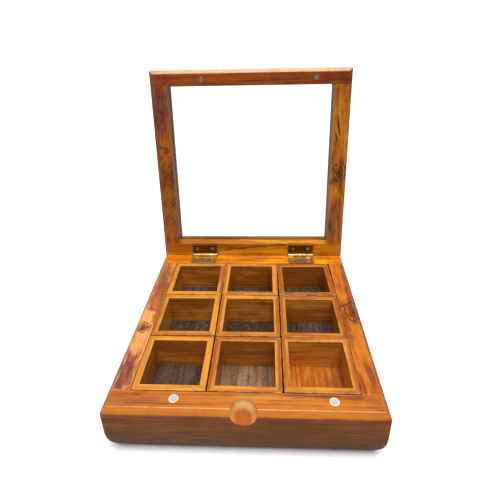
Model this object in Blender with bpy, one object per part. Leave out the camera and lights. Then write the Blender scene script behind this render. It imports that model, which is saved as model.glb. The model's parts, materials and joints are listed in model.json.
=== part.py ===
"""A wooden spice box: nine lift-out cups in a square tray, a glazed lid on two brass butt hinges."""
from math import asin, cos, pi, radians, sin

import bmesh
import bpy
from mathutils import Matrix, Vector

# ---- tray ----
WIDTH = 0.230            # left to right
HINGE_REACH = 0.230      # front face to hinge axis
HEIGHT = 0.052
CHAMFER = 0.004          # rim chamfer all round
BACK_DROP = 0.0042       # the back chamfer is slightly steeper, it is the lid's stop
ROUND_IN, ROUND_UP = 0.013, 0.026    # rounded lower edge: inwards, upwards
ROUND_STEPS = 8
SIDE_RAIL, FRONT_RAIL = 0.019, 0.0195
CAVITY = 0.192           # square opening for the cups
GAP = 0.0003             # clearance between separate pieces
PANEL_Z0, PANEL_Z1 = 0.0087, 0.0137
GROOVE, TONGUE = 0.0050, 0.0046
SCOOP_R, SCOOP_IN = 0.0112, 0.0028

# ---- lid ----
LID_THICK = 0.0250
LID_SIDE, LID_FRONT, LID_BACK = 0.0195, 0.0178, 0.0162   # the last from the hinge axis
LID_OUTER_CHAMFER = 0.003
LID_LIFT = 0.0005        # lid face to hinge axis when shut
OPEN_ANGLE = 95.3
GLASS_N0, GLASS_THICK = 0.0140, 0.0030

# ---- hinges ----
HINGE_X = (-0.0620, 0.0622)
HINGE_W, RECESS_W = 0.0310, 0.0340
BARREL_R, BORE_R, PIN_R = 0.0021, 0.00122, 0.0009
LEAF_THICK = 0.0012
LID_LEAF_REACH, BASE_LEAF_REACH = 0.0133, 0.0176
RECESS_DEPTH = 0.0019
SCREW_X, SCREW_LID_Y, SCREW_BASE_Y = 0.0097, 0.0088, 0.0096
HEAD_R, SHANK_R, SCREW_LEN = 0.0021, 0.0009, 0.0090
SLOT_TURNS = ((20, 85), (60, 125))       # degrees, how each screw's slot came to rest

# ---- catches ----
MAGNET_X, MAGNET_IN, MAGNET_R, MAGNET_DEEP = (-0.0575, 0.0725), 0.0125, 0.0040, 0.0030
STRIKE_X, STRIKE_REACH, STRIKE_R, STRIKE_DEEP = (-0.0560, 0.0745), 0.2200, 0.0030, 0.0020
STRIKE_PROUD = 0.0002

# ---- cups ----
PITCH = 0.0640
CUP, CUP_WALL, CUP_H = 0.0629, 0.0058, 0.0380
CUP_EASE = 0.0008
FLOOR_Z0, FLOOR_Z1 = 0.0003, 0.0060      # from the cup's own bottom
ROWS, COLS = ("front", "middle", "back"), ("left", "middle", "right")
# the cups lie loose: how far each has slid right and back, and its turn in degrees
PLAY = {
    "front_left": (0.0, 0.00005, 0.0), "front_middle": (0.0002, -0.00005, -0.3),
    "front_right": (0.00015, 0.00029, 0.0), "middle_left": (-0.00005, 0.0001, 0.25),
    "middle_middle": (0.00015, 0.0, 0.0), "middle_right": (0.0001, -0.00046, 0.0),
    "back_left": (0.0002, -0.00015, 0.0), "back_middle": (-0.00046, -0.0001, 0.0),
    "back_right": (-0.000505, -0.000505, 1.3),
}

# ---- derived: the whole open box is centred on the origin and stands on Z 0 ----
_open = radians(OPEN_ANGLE)
LID_BACK_REACH = (-(HINGE_REACH - LID_OUTER_CHAMFER) * cos(_open)
                  + (LID_LIFT + LID_THICK) * sin(_open))
FRONT_Y = -(HINGE_REACH + LID_BACK_REACH) / 2
AXIS_Y = FRONT_Y + HINGE_REACH
BACK_Y = AXIS_Y + CHAMFER
AXIS_Z = HEIGHT + LID_LIFT
CAV_Y0 = FRONT_Y + FRONT_RAIL
CAV_Y1 = CAV_Y0 + CAVITY
CUP_Z0 = HEIGHT - CUP_H


def clear_scene():
    for obj in list(bpy.data.objects):
        bpy.data.objects.remove(obj, do_unlink=True)


def material(name, colour, rough, metal=0.0, clear=0.0):
    mat = bpy.data.materials.new(name)
    mat.use_nodes = True
    shader = mat.node_tree.nodes["Principled BSDF"]
    shader.inputs["Base Color"].default_value = (*colour, 1)
    shader.inputs["Roughness"].default_value = rough
    shader.inputs["Metallic"].default_value = metal
    shader.inputs["Transmission Weight"].default_value = clear
    return mat


def add_object(name, bm, mat, smooth=False):
    bmesh.ops.recalc_face_normals(bm, faces=bm.faces)
    mesh = bpy.data.meshes.new(name)
    bm.to_mesh(mesh)
    bm.free()
    if mat:
        mesh.materials.append(mat)
    obj = bpy.data.objects.new(name, mesh)
    bpy.context.scene.collection.objects.link(obj)
    if smooth:
        for face in mesh.polygons:
            face.use_smooth = True
    return obj


def loft(name, rings, mat, closed=False):
    """Join rings of equal length into one solid; open ends are capped."""
    bm = bmesh.new()
    loops = [[bm.verts.new(p) for p in ring] for ring in rings]
    count = len(loops[0])
    pairs = list(zip(loops, loops[1:]))
    if closed:
        pairs.append((loops[-1], loops[0]))
    for low, high in pairs:
        for i in range(count):
            j = (i + 1) % count
            bm.faces.new((low[i], low[j], high[j], high[i]))
    if not closed:
        bm.faces.new(loops[0])
        bm.faces.new(loops[-1])
    return add_object(name, bm, mat)


def rectangle(x0, x1, y0, y1, z):
    return [(x0, y0, z), (x1, y0, z), (x1, y1, z), (x0, y1, z)]


def box(name, x0, x1, y0, y1, z0, z1, mat=None):
    return loft(name, [rectangle(x0, x1, y0, y1, z0), rectangle(x0, x1, y0, y1, z1)], mat)


def lathe(name, profile, mat=None, steps=32):
    """Turn (radius, height) pairs about Z; the first and last radius are capped."""
    rings = [[(r * cos(2 * pi * k / steps), r * sin(2 * pi * k / steps), z) for k in range(steps)]
             for r, z in profile]
    obj = loft(name, rings, mat)
    obj.data.set_sharp_from_angle(angle=radians(35))
    for face in obj.data.polygons:
        face.use_smooth = True
    return obj


def cut(target, tool, how="DIFFERENCE"):
    mod = target.modifiers.new(tool.name, "BOOLEAN")
    mod.operation = how
    mod.object = tool
    mod.solver = "EXACT"
    tool.hide_render = True
    tool.display_type = "WIRE"


def bake(obj, matrix):
    obj.data.transform(matrix)
    return obj


def level_span(z, levels):
    """Insets (x side, front, back) interpolated at height z from a list of levels."""
    for (z0, *a), (z1, *b) in zip(levels, levels[1:]):
        if z0 - 1e-9 <= z <= z1 + 1e-9:
            t = (z - z0) / (z1 - z0)
            return [p + (q - p) * t for p, q in zip(a, b)]
    return list(levels[-1][1:])


def rail_set(prefix, levels, outer, inner, names, mats):
    """Four rails round an opening: front and back run full width, the sides butt between them."""
    ox, oy0, oy1 = outer
    ix, iy0, iy1 = inner
    found = {}
    for key in names:
        rings = []
        for z, side, front, back in levels:
            x0, x1 = -ox + side, ox - side
            y0, y1 = oy0 + front, oy1 - back
            if key == "front":
                y1 = iy0
            elif key == "back":
                y0 = iy1
            else:
                y0, y1 = iy0 + GAP, iy1 - GAP
                if key == "left":
                    x1 = -ix
                else:
                    x0 = ix
            rings.append(rectangle(x0, x1, y0, y1, z))
        found[key] = loft(f"{prefix}_{names[key]}", rings, mats[key])
    return found


def base_levels():
    rows = []
    for k in range(ROUND_STEPS + 1):
        a = pi / 2 * (1 - k / ROUND_STEPS)
        inset = ROUND_IN * (1 - cos(a))
        rows.append((ROUND_UP * (1 - sin(a)), inset, inset, inset))
    rows.append((HEIGHT - BACK_DROP, 0.0, 0.0, 0.0))
    rows.append((HEIGHT - CHAMFER, 0.0, 0.0, CHAMFER * (1 - CHAMFER / BACK_DROP)))
    rows.append((HEIGHT, CHAMFER, CHAMFER, CHAMFER))
    return rows


def lid_levels():
    c, o, t = CHAMFER, LID_OUTER_CHAMFER, LID_THICK
    rows = [(0.0, c, c, c), (c, 0.0, 0.0, c * (1 - c / BACK_DROP)), (BACK_DROP, 0.0, 0.0, 0.0),
            (t - o, 0.0, 0.0, 0.0), (t, o, o, o)]
    return [(z + AXIS_Z + LID_LIFT, *rest) for z, *rest in rows]


def hinge_leaf(name, reach, screw_y, centre_knuckle, mat):
    """One leaf with its knuckles, drawn lying below the axis with the leaf towards -Y."""
    half, quarter = HINGE_W / 2, HINGE_W / 4
    z0, z1 = -BARREL_R, -BARREL_R + LEAF_THICK
    # section: flat leaf whose end is rolled into the barrel
    last = pi + asin(-z1 / BARREL_R)
    steps = 30
    turn = [-pi / 2 + (last + pi / 2) * k / steps for k in range(steps + 1)]
    section = [(BARREL_R * cos(a), BARREL_R * sin(a)) for a in turn] + [(-reach, z1), (-reach, z0)]
    leaf = loft(name, [[(px, y, z) for y, z in section] for px in (-half, half)], mat)
    # the other leaf's knuckles need their room
    if centre_knuckle:
        spans = [(-half - 0.001, -quarter), (quarter, half + 0.001)]
    else:
        spans = [(-quarter - GAP, quarter + GAP)]
    for n, (a, b) in enumerate(spans):
        cut(leaf, box(f"notch_{name}_{n}", a, b, -BARREL_R - 0.00035, 0.003, -0.003, 0.003))
    rings = [[(px, BORE_R * cos(2 * pi * k / 24), BORE_R * sin(2 * pi * k / 24))
              for k in range(24)] for px in (-half - 0.001, half + 0.001)]
    cut(leaf, loft(f"bore_{name}", rings, None))
    for n, sx in enumerate((-SCREW_X, SCREW_X)):
        sink = lathe(f"sink_{name}_{n}",
                     [(SHANK_R + GAP, z0 - 0.001), (SHANK_R + GAP, z0), (HEAD_R + GAP, z1),
                      (HEAD_R + GAP, z1 + 0.001)], steps=24)
        cut(leaf, bake(sink, Matrix.Translation((sx, -screw_y, 0))))
    return leaf


def screw(name, mat):
    """Countersunk slotted screw, head face at Z 0, point downwards."""
    body = lathe(name, [(0.0003, -SCREW_LEN), (SHANK_R, -SCREW_LEN + 0.0018),
                        (SHANK_R, -LEAF_THICK), (HEAD_R, -0.0001), (HEAD_R - 0.0001, 0.0)],
                 mat, steps=24)
    cut(body, box(f"slot_{name}", -0.003, 0.003, -0.00022, 0.00022, -0.0005, 0.001))
    return body


def pilot(name, depth):
    return lathe(name, [(SHANK_R + GAP, -depth), (SHANK_R + GAP, 0.001)], steps=16)


def rest_on_axis(obj, pivot):
    """Give a lid piece its place under the hinge empty, keeping its shut-lid drawing."""
    obj.data.transform(Matrix.Translation((0, -AXIS_Y, -AXIS_Z)))
    obj.parent = pivot


def build():
    clear_scene()
    wood = {
        "front": material("orange_brown_wood", (0.42, 0.16, 0.05), 0.35),
        "back": material("honey_wood", (0.50, 0.21, 0.06), 0.35),
        "left": material("figured_wood", (0.34, 0.14, 0.06), 0.35),
        "right": material("amber_wood", (0.46, 0.19, 0.06), 0.35),
    }
    lid_wood = {
        "front": material("dark_red_brown_wood", (0.26, 0.09, 0.03), 0.35),
        "back": material("golden_wood", (0.45, 0.19, 0.05), 0.35),
        "left": material("striped_wood", (0.30, 0.11, 0.04), 0.35),
        "right": material("knotty_wood", (0.36, 0.14, 0.05), 0.35),
    }
    panel_wood = material("panel_wood", (0.20, 0.10, 0.05), 0.5)
    cup_wood = material("cup_wood", (0.56, 0.26, 0.10), 0.4)
    floor_wood = material("cup_floor_wood", (0.17, 0.10, 0.06), 0.5)
    amber_floor = material("amber_floor_wood", (0.45, 0.18, 0.05), 0.45)
    brass = material("tan_brass", (0.62, 0.44, 0.20), 0.35, 1.0)
    dark_brass = material("dark_brass", (0.30, 0.20, 0.09), 0.35, 1.0)
    pin_brass = material("pin_brass", (0.75, 0.60, 0.30), 0.3, 1.0)
    nickel = material("magnet_nickel", (0.62, 0.60, 0.56), 0.3, 1.0)
    strike = material("strike_steel", (0.35, 0.31, 0.29), 0.35, 1.0)
    screw_brass = material("screw_brass", (0.50, 0.38, 0.20), 0.35, 1.0)
    glass = material("clear_glass", (0.95, 0.97, 0.96), 0.03, 0.0, 1.0)

    half_w = WIDTH / 2
    base = rail_set("base", base_levels(), (half_w, FRONT_Y, BACK_Y), (CAVITY / 2, CAV_Y0, CAV_Y1),
                    {"front": "front_rail", "back": "back_rail", "left": "left_rail",
                     "right": "right_rail"}, wood)
    groove = box("tray_groove", -CAVITY / 2 - GROOVE, CAVITY / 2 + GROOVE, CAV_Y0 - GROOVE,
                 CAV_Y1 + GROOVE, PANEL_Z0 - GAP, PANEL_Z1 + GAP)
    for rail in base.values():
        cut(rail, groove)
    box("base_bottom_panel", -CAVITY / 2 - TONGUE, CAVITY / 2 + TONGUE, CAV_Y0 - TONGUE,
        CAV_Y1 + TONGUE, PANEL_Z0, PANEL_Z1, panel_wood)

    scoop_mesh = bmesh.new()
    bmesh.ops.create_uvsphere(scoop_mesh, u_segments=40, v_segments=20, radius=SCOOP_R,
                              matrix=Matrix.Translation((0, FRONT_Y + SCOOP_IN, HEIGHT - SCOOP_IN)))
    cut(base["front"], add_object("thumb_scoop_ball", scoop_mesh, None, smooth=True))

    # magnets let into the front rail
    for n, x in enumerate(MAGNET_X):
        side = ("left", "right")[n]
        at = Matrix.Translation((x, FRONT_Y + MAGNET_IN, HEIGHT))
        hole = lathe(f"magnet_hole_{side}", [(MAGNET_R + GAP, -MAGNET_DEEP - GAP),
                                             (MAGNET_R + GAP, 0.001)])
        cut(base["front"], bake(hole, at))
        bake(lathe(f"base_magnet_{side}", [(MAGNET_R, -MAGNET_DEEP), (MAGNET_R, -0.0003),
                                           (MAGNET_R - 0.0003, 0.0)], nickel), at)

    # lid, drawn shut and then turned about the hinge axis
    pivot = bpy.data.objects.new("lid_pivot", None)
    bpy.context.scene.collection.objects.link(pivot)
    pivot.location = (0, AXIS_Y, AXIS_Z)
    lid_y0, lid_y1 = FRONT_Y + LID_FRONT, AXIS_Y - LID_BACK
    lid_x = half_w - LID_SIDE
    lid = rail_set("lid", lid_levels(), (half_w, FRONT_Y, BACK_Y), (lid_x, lid_y0, lid_y1),
                   {"front": "front_rail", "back": "hinge_rail", "left": "left_rail",
                    "right": "right_rail"}, lid_wood)
    face_z = AXIS_Z + LID_LIFT
    g0 = face_z + GLASS_N0
    slot = box("glass_groove", -lid_x - GROOVE, lid_x + GROOVE, lid_y0 - GROOVE, lid_y1 + GROOVE,
               g0 - GAP, g0 + GLASS_THICK + GAP)
    for rail in lid.values():
        cut(rail, slot)
    pane = box("lid_glass", -lid_x - TONGUE, lid_x + TONGUE, lid_y0 - TONGUE, lid_y1 + TONGUE,
               g0, g0 + GLASS_THICK, glass)
    moving = list(lid.values()) + [slot, pane]

    for n, x in enumerate(STRIKE_X):
        side = ("left", "right")[n]
        at = Matrix.Translation((x, AXIS_Y - STRIKE_REACH, face_z)) @ Matrix.Rotation(pi, 4, "X")
        hole = lathe(f"strike_hole_{side}", [(STRIKE_R + GAP, -STRIKE_DEEP - GAP),
                                             (STRIKE_R + GAP, 0.001)])
        cut(lid["front"], bake(hole, at))
        disc = lathe(f"lid_strike_{side}", [(STRIKE_R, -STRIKE_DEEP), (STRIKE_R, 0.0),
                                            (STRIKE_R - 0.0003, STRIKE_PROUD)], strike)
        moving += [hole, bake(disc, at)]

    for n, x in enumerate(HINGE_X):
        side = ("left", "right")[n]
        here = Matrix.Translation((x, AXIS_Y, AXIS_Z))
        flip = here @ Matrix.Scale(-1, 4, (0, 0, 1))
        half = RECESS_W / 2
        low = box(f"base_recess_{side}", x - half, x + half, CAV_Y1 - 0.002, BACK_Y + 0.002,
                  HEIGHT - RECESS_DEPTH, HEIGHT + 0.003)
        cut(base["back"], low)
        high = box(f"lid_recess_{side}", x - half, x + half, lid_y1 - 0.002, BACK_Y + 0.002,
                   face_z - 0.003, face_z + RECESS_DEPTH)
        cut(lid["back"], high)
        moving.append(high)

        leaf = hinge_leaf(f"hinge_{side}_base_leaf", BASE_LEAF_REACH, SCREW_BASE_Y, False, brass)
        leaf.matrix_world = here
        for tool in [m.object for m in leaf.modifiers]:
            tool.matrix_world = here
        top = hinge_leaf(f"hinge_{side}_lid_leaf", LID_LEAF_REACH, SCREW_LID_Y, True, dark_brass)
        bake(top, flip).data.flip_normals()
        moving.append(top)
        for tool in [m.object for m in top.modifiers]:
            bake(tool, flip).data.flip_normals()
            moving.append(tool)

        rings = [[(px, PIN_R * cos(2 * pi * k / 20), PIN_R * sin(2 * pi * k / 20))
                  for k in range(20)] for px in (-HINGE_W / 2 - 0.0002, HINGE_W / 2 + 0.0002)]
        bake(loft(f"hinge_{side}_pin", rings, pin_brass), here)

        for m, sx in enumerate((-SCREW_X, SCREW_X)):
            tag = f"{side}_{('a', 'b')[m]}"
            turn = Matrix.Rotation(radians(SLOT_TURNS[n][m]), 4, "Z")
            face = -BARREL_R + LEAF_THICK
            at = here @ Matrix.Translation((sx, -SCREW_BASE_Y, face)) @ turn
            hole = bake(pilot(f"base_pilot_{tag}", SCREW_LEN + 0.0004), at)
            cut(base["back"], hole)
            s = screw(f"base_screw_{tag}", screw_brass)
            s.data.transform(at)
            s.modifiers[0].object.data.transform(at)
            up = Matrix.Rotation(pi, 4, "X")
            at = here @ Matrix.Translation((sx, -SCREW_LID_Y, -face)) @ up @ turn
            hole = bake(pilot(f"lid_pilot_{tag}", SCREW_LEN + 0.0004), at)
            cut(lid["back"], hole)
            s = screw(f"lid_screw_{tag}", screw_brass)
            s.data.transform(at)
            s.modifiers[0].object.data.transform(at)
            moving += [hole, s, s.modifiers[0].object]

    for obj in moving:
        rest_on_axis(obj, pivot)
    pivot.rotation_euler = (-radians(OPEN_ANGLE), 0, 0)

    # nine cups, rows counted from the front
    cy = (CAV_Y0 + CAV_Y1) / 2
    a, b, e = CUP / 2, CUP / 2 - CUP_WALL, CUP_EASE
    for row, row_name in enumerate(ROWS):
        for col, col_name in enumerate(COLS):
            tag = f"{row_name}_{col_name}"
            slid_x, slid_y, turn = PLAY[tag]
            place = Vector(((col - 1) * PITCH + slid_x, cy + (row - 1) * PITCH + slid_y, CUP_Z0))
            rings = [rectangle(-r, r, -r, r, z) for r, z in (
                (a, 0), (a, CUP_H - e), (a - e, CUP_H), (b + e, CUP_H), (b, CUP_H - e), (b, 0))]
            walls = loft(f"cup_{tag}_walls", rings, cup_wood, closed=True)
            f = b - GAP
            mat = amber_floor if tag == "front_right" else floor_wood
            floor = box(f"cup_{tag}_floor", -f, f, -f, f, FLOOR_Z0, FLOOR_Z1, mat)
            for piece in (walls, floor):
                piece.location = place
                piece.rotation_euler = (0, 0, radians(turn))
    bpy.context.view_layer.update()


build()
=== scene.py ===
# %% [markdown]
# # A wooden spice box with a glazed lid
# The box is a square tray of four thick rails with nine loose wooden cups in it. A glazed frame is hinged to its
# back rail and stands open. Everything is glossy lacquered hardwood except the glass, two brass hinges with their
# screws, two magnets and two steel strikes. This lesson builds each board as a joiner would: a block is sawn,
# moulded, grooved and eased.

# %% Open the frame
from math import atan2, cos, pi, radians, sin, sqrt

import bpy
import json
from mathutils import Matrix, Vector

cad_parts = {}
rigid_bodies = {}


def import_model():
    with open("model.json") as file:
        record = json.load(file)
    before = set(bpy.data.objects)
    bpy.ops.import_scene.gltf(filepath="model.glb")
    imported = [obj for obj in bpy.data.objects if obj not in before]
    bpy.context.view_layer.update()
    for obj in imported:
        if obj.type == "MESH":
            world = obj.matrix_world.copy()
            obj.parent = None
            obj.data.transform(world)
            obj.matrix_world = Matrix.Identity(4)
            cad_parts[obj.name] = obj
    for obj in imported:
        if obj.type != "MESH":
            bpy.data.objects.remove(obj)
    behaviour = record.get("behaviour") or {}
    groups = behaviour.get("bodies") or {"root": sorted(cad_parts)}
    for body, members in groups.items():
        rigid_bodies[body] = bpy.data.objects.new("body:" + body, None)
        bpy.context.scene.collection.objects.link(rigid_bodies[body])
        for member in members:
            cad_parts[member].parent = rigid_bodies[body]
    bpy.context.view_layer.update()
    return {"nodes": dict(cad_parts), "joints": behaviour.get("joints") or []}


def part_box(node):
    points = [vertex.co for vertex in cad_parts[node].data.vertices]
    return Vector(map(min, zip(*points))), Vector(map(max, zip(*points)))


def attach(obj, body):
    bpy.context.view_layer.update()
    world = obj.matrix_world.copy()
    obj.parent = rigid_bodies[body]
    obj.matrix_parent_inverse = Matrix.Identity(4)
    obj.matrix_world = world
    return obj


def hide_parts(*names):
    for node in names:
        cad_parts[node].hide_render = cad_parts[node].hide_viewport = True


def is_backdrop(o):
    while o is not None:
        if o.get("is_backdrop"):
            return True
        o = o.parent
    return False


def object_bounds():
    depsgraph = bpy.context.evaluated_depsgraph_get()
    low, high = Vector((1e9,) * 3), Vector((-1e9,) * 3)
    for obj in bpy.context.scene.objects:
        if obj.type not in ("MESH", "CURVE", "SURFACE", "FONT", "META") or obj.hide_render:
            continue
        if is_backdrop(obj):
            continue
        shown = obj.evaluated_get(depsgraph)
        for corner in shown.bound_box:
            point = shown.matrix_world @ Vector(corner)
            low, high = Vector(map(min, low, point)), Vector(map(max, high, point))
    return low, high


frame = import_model()
bpy.context.scene.view_settings.view_transform = "Standard"

# %% [markdown]
# ## Sizes
# The frame already holds every rail, so the main sizes are read from it. Only small workshop sizes, such as the
# chamfer and the moulding on the lower edge, are written down here.

# %% Read the sizes
front_low, front_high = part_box("base_front_rail")
back_low, back_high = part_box("base_back_rail")
left_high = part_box("base_left_rail")[1]
panel_low, panel_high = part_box("base_bottom_panel")
half_width, tray_top = front_high.x, front_high.z
tray_front, tray_back = front_low.y, back_high.y
cavity_front, cavity_back = front_high.y, back_low.y
cavity_x = -left_high.x

hinge = next(j for j in frame["joints"] if j["name"] == "lid_hinge")
axis_y, axis_z = hinge["pos_m"][1:]
open_angle = radians(-hinge["range_deg"][0])
CHAMFER, BACK_DROP, LID_OUTER_CHAMFER = 0.004, 0.0042, 0.003
ROUND_IN, ROUND_UP, ROUND_STEPS = 0.013, 0.026, 12
JOINT = 0.00004          # a glued joint is only a hairline
print("tray", half_width * 2, tray_back - tray_front, tray_top, "lid opens", hinge["range_deg"])

# %% Lid sizes, measured with the lid turned shut
to_axis = Matrix.Translation((0, axis_y, axis_z))
turn_open = to_axis @ Matrix.Rotation(-open_angle, 4, "X") @ to_axis.inverted()


def shut_box(node):
    """The corners of a lid node's box after the lid is turned shut."""
    turned = [turn_open.inverted() @ v.co for v in frame["nodes"][node].data.vertices]
    return [Vector([pick(v[i] for v in turned) for i in range(3)]) for pick in (min, max)]


lid_low, lid_high = shut_box("lid_left_rail")
lid_face, lid_top = lid_low.z, lid_high.z
lid_open_x = -lid_high.x
lid_open_front = shut_box("lid_front_rail")[1].y
lid_open_back = shut_box("lid_hinge_rail")[0].y
glass_low, glass_high = shut_box("lid_glass")
print("lid", round(lid_face, 4), round(lid_top, 4), "opening", round(lid_open_x * 2, 4))

# %% [markdown]
# ## The workbench
# A board begins as a cube primitive at its own size. Chamfers and the rounded lower edge are planed off with bisect,
# which cuts a mesh with a plane and closes the cut. Bevelling the edges instead can't give a moulding that is twice
# as high as it is deep.

# %% Bench tools
def only(obj):
    """Make this the one selected and active object."""
    bpy.ops.object.select_all(action="DESELECT")
    obj.select_set(True)
    bpy.context.view_layer.objects.active = obj


def block(name, low, high):
    """A cube primitive between two corners, with its place kept in its mesh."""
    bpy.ops.object.select_all(action="DESELECT")
    low, high = Vector(low), Vector(high)
    bpy.ops.mesh.primitive_cube_add(size=1, location=(low + high) / 2)
    made = bpy.context.object
    made.scale = high - low
    bpy.ops.object.transform_apply(location=True, rotation=True, scale=True)
    made.name = made.data.name = name
    return made


def saw(board, point, normal):
    """Saw off what lies beyond a plane and close the cut."""
    only(board)
    bpy.ops.object.mode_set(mode="EDIT")
    bpy.ops.mesh.select_all(action="SELECT")
    bpy.ops.mesh.bisect(plane_co=point, plane_no=Vector(normal).normalized(), use_fill=True,
                        clear_outer=True, threshold=0.000001)
    bpy.ops.object.mode_set(mode="OBJECT")


def carve(board, *tools):
    """Cut the tools' shapes out of a board and throw the tools away."""
    only(board)
    for tool in tools:
        cut = board.modifiers.new("cut", "BOOLEAN")
        cut.operation, cut.solver, cut.object = "DIFFERENCE", "EXACT", tool
        bpy.ops.object.modifier_apply(modifier=cut.name)
        bpy.data.objects.remove(tool, do_unlink=True)


CRISP = 25               # degrees: a sharper turn than this is an edge


def ease(piece, width, steps=2, angle=CRISP):
    """Take the sharpness off every crisp edge, then shade smooth across the small facets."""
    only(piece)
    soft = piece.modifiers.new("ease", "BEVEL")
    soft.width, soft.segments = width, steps
    soft.limit_method, soft.angle_limit = "ANGLE", radians(angle)
    bpy.ops.object.modifier_apply(modifier=soft.name)
    bpy.ops.object.shade_smooth_by_angle(angle=radians(angle))


# %% Outer sides of the tray and the lid
SIDES = {"front": (Vector((0, -1, 0)), -tray_front), "back": (Vector((0, 1, 0)), tray_back),
         "left": (Vector((-1, 0, 0)), half_width), "right": (Vector((1, 0, 0)), half_width)}
UP = Vector((0, 0, 1))


def chamfer(board, side, edge_z, inward, drop):
    """Plane a flat chamfer along one outer side; drop is negative on a lower edge."""
    out, reach = SIDES[side]
    normal = out * abs(drop) + UP * inward * (1 if drop > 0 else -1)
    saw(board, out * reach + UP * (edge_z - drop), normal)


def mould_lower_edge(board, side):
    """Round the lower edge with a quarter ellipse, one flat cut after another."""
    out, reach = SIDES[side]
    turns = [pi / 2 * k / ROUND_STEPS for k in range(ROUND_STEPS + 1)]
    curve = [(reach - ROUND_IN * (1 - cos(a)), ROUND_UP * (1 - sin(a))) for a in turns]
    for (r0, z0), (r1, z1) in zip(curve, curve[1:]):
        saw(board, out * r0 + UP * z0, out * (z0 - z1) - UP * (r0 - r1))


# %% Remember where the grain runs
RIM_WIDTH = 0.0007       # faces narrower than this are eased edges


def mark_grain(piece, along, across, seed=0, tone=0.5):
    """Store each point's place in its own board: along the grain, across it and through it."""
    along, across = Vector(along), Vector(across)
    through = along.cross(across)
    shift = Vector((seed * 0.731, seed * 0.417, seed * 0.293))
    layers = piece.data.attributes
    layers.new("board", "FLOAT_VECTOR", "POINT")
    layers.new("tone", "FLOAT", "FACE")
    for v, place in zip(piece.data.vertices, layers["board"].data):
        place.vector = Vector((v.co.dot(along), v.co.dot(across), v.co.dot(through))) + shift
    layers["tone"].data.foreach_set("value", [tone] * len(piece.data.polygons))
    layers.new("rim", "FLOAT", "FACE")
    points = [v.co for v in piece.data.vertices]
    lengths = [max((points[a] - points[b]).length for a, b in f.edge_keys) for f in piece.data.polygons]
    narrow = [float(f.area < RIM_WIDTH * longest) for f, longest in zip(piece.data.polygons, lengths)]
    layers["rim"].data.foreach_set("value", narrow)


# along and across for the boards of a square frame
GRAIN_WAY = {"front": ((1, 0, 0), (0, 1, 0)), "back": ((1, 0, 0), (0, 1, 0)),
             "left": ((0, 1, 0), (-1, 0, 0)), "right": ((0, 1, 0), (-1, 0, 0))}


def settle(piece, body, *nodes, slot, material):
    """Give a finished piece true flat faces, its material, its body and the frame nodes that it stands for."""
    only(piece)
    level = piece.modifiers.new("level", "WEIGHTED_NORMAL")
    level.weight, level.keep_sharp = 100, True
    bpy.ops.object.modifier_apply(modifier=level.name)
    piece.data.materials.clear()
    piece.data.materials.append(material)
    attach(piece, body)
    if nodes:
        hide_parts(*nodes)
    return piece


# %% [markdown]
# ## Finishes
# Lacquered hardwood is one shader group used with many palettes. It could be painted as stripes on each face, but
# stripes break at every edge. Here the pattern lives in board coordinates, so growth rings and fibres run through a
# board as they do in a tree: they bend over the chamfers and show on the ends.

# %% Small helpers for shader nodes
def fresh_group(name, takes, gives):
    """An empty shader group with named sockets; takes maps a name to its default, gives to a socket kind."""
    group = bpy.data.node_groups.new(name, "ShaderNodeTree")
    for label, value in takes.items():
        kind = {float: "Float", int: "Float"}.get(type(value)) or ("Vector" if len(value) == 3 else "Color")
        socket = group.interface.new_socket(name=label, in_out="INPUT", socket_type=f"NodeSocket{kind}")
        socket.default_value = value
    for label, kind in gives.items():
        group.interface.new_socket(name=label, in_out="OUTPUT", socket_type=f"NodeSocket{kind}")
    return group, group.nodes.new("NodeGroupInput").outputs, group.nodes.new("NodeGroupOutput").inputs


def feed(tree, socket, value):
    """Link a socket, or set it to a plain value."""
    if isinstance(value, bpy.types.NodeSocket):
        tree.links.new(value, socket)
    else:
        socket.default_value = value


def calc(tree, how, *values, clamp=False):
    """One Math node."""
    made = tree.nodes.new("ShaderNodeMath")
    made.operation, made.use_clamp = how, clamp
    for socket, value in zip(made.inputs, values):
        feed(tree, socket, value)
    return made.outputs[0]


def times(tree, first, second, clamp=False):
    """A Math node that multiplies."""
    return calc(tree, "MULTIPLY", first, second, clamp=clamp)


def centred(tree, value, reach):
    """Turn a noise, which hovers round one half, into a swing about zero."""
    return calc(tree, "MULTIPLY_ADD", value, reach, -0.5 * reach)


def aim(tree, how, *values):
    """One Vector Math node."""
    made = tree.nodes.new("ShaderNodeVectorMath")
    made.operation = how
    for socket, value in zip(made.inputs, values):
        feed(tree, socket, value)
    return made.outputs["Value" if how == "LENGTH" else "Vector"]


def noise(tree, spot, stretch, detail=2.0, rough=0.5, output="Fac"):
    """A noise whose stretch is given as features per metre along, across and through the board."""
    made = tree.nodes.new("ShaderNodeTexNoise")
    made.inputs["Scale"].default_value = 1.0
    made.inputs["Detail"].default_value = detail
    made.inputs["Roughness"].default_value = rough
    tree.links.new(aim(tree, "MULTIPLY", spot, stretch), made.inputs["Vector"])
    return made.outputs[output]


def span(tree, value, low, high, out_low=0.0, out_high=1.0):
    """One Map Range node with a soft start and end."""
    made = tree.nodes.new("ShaderNodeMapRange")
    made.interpolation_type = "SMOOTHSTEP"
    for label, number in zip(("Value", "From Min", "From Max", "To Min", "To Max"),
                             (value, low, high, out_low, out_high)):
        feed(tree, made.inputs[label], number)
    return made.outputs["Result"]


def blend(tree, factor, first, second, how="MIX"):
    """One colour Mix node."""
    made = tree.nodes.new("ShaderNodeMix")
    made.data_type, made.blend_type = "RGBA", how
    for label, value in (("Factor", factor), ("A", first), ("B", second)):
        feed(tree, [s for s in made.inputs if s.name == label and s.enabled][0], value)
    return [s for s in made.outputs if s.enabled][0]


# %% [markdown]
# ### The figure of the wood
# A tree grows in rings about its pith. The distance from a pith that lies outside the board, bent by a slow noise,
# gives rings that open into arches where the board's face meets them. Streaks, fibres and open pores are noises
# drawn out along the grain, each at its own real width.

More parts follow.
